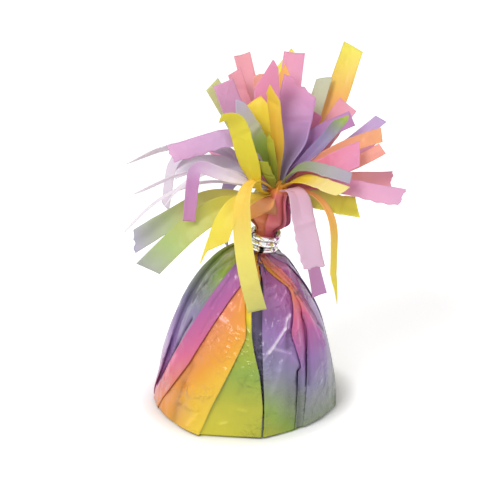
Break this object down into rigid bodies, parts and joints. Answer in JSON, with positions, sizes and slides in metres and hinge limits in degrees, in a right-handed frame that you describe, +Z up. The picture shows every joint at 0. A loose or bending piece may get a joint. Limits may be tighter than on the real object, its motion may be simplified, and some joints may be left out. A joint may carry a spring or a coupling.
{
  "type": "balloon weight",
  "caption": "Pear-shaped balloon weight wrapped in pleated rainbow film, tied at the neck below a fringe of film strips, that holds balloon ribbons down on a table.",
  "frame": {"origin": "middle of the flat resting face, on the surface that the weight stands on", "axes": "+Z up, the neck leans towards +X, and the pictured front is towards -Y"},
  "size_m": [0.0945, 0.079, 0.1226],
  "materials": {
    "film_yellow": "gloss",
    "film_magenta": "gloss",
    "film_coral": "gloss",
    "film_pink": "gloss",
    "film_yellow_green": "gloss",
    "film_lilac": "gloss",
    "film_orange": "gloss",
    "film_grey_lilac": "gloss",
    "film_green": "gloss",
    "film_grey_green": "gloss",
    "casting": "matte",
    "cup": "satin",
    "card": "matte",
    "tie_cord": "polished"
  },
  "bodies": {
    "root": {"casting": "casting", "casting_cup": "cup", "base_card": "card", "film_base": "film_yellow", "film_dome": "film_magenta", "film_throat": "film_coral", "neck_tie": "tie_cord", "strip_pink_back_left": "film_coral", "strip_pink_back_left_low": "film_pink", "strip_green_left_up": "film_yellow_green", "strip_lilac_left_up": "film_lilac", "strip_yellow_top": "film_yellow", "strip_pink_top": "film_pink", "strip_orange_tip_top": "film_orange", "strip_petal_pink_left": "film_magenta", "strip_coral_back": "film_coral", "strip_petal_main": "film_lilac", "strip_gold_centre": "film_yellow", "strip_yellow_mid_left": "film_yellow", "strip_yellow_arch_left": "film_yellow", "strip_lilac_left": "film_lilac", "strip_pink_far_left": "film_magenta", "strip_grey_left": "film_grey_lilac", "strip_lilac_hang_far": "film_lilac", "strip_lilac_thin_high": "film_grey_lilac", "strip_lilac_thin_low": "film_grey_lilac", "strip_pink_thin_left": "film_magenta", "strip_mauve_hang_left": "film_lilac", "strip_yellow_green_left": "film_green", "strip_yellow_green_low": "film_green", "strip_yellow_front_left": "film_yellow", "strip_yellow_front": "film_yellow", "strip_orange_front_left": "film_orange", "strip_orange_up_right": "film_orange", "strip_grey_olive_up": "film_grey_green", "strip_pink_right_back": "film_pink", "strip_pink_right_mid": "film_magenta", "strip_lilac_right_curl": "film_lilac", "strip_orange_right": "film_coral", "strip_coral_right": "film_coral", "strip_pink_right_front": "film_pink", "strip_olive_fold": "film_green", "strip_lilac_cross": "film_lilac", "strip_magenta_inner": "film_magenta", "strip_grey_arch_right": "film_grey_green", "strip_coral_far_right": "film_coral", "strip_rose_far_right": "film_magenta", "strip_cream_front_right": "film_orange", "strip_yellow_right": "film_yellow_green", "strip_orange_hang_right": "film_orange", "strip_lilac_front_right": "film_lilac", "strip_mauve_hang_right": "film_magenta", "strip_lilac_hang_back": "film_grey_lilac", "strip_olive_inner_left": "film_green", "strip_grey_edge_left": "film_grey_green", "strip_pale_yellow_inner": "film_yellow", "fringe_back_high": "film_grey_green", "fringe_back_mid": "film_grey_lilac", "fringe_back_low": "film_yellow"}
  },
  "joints": []
}
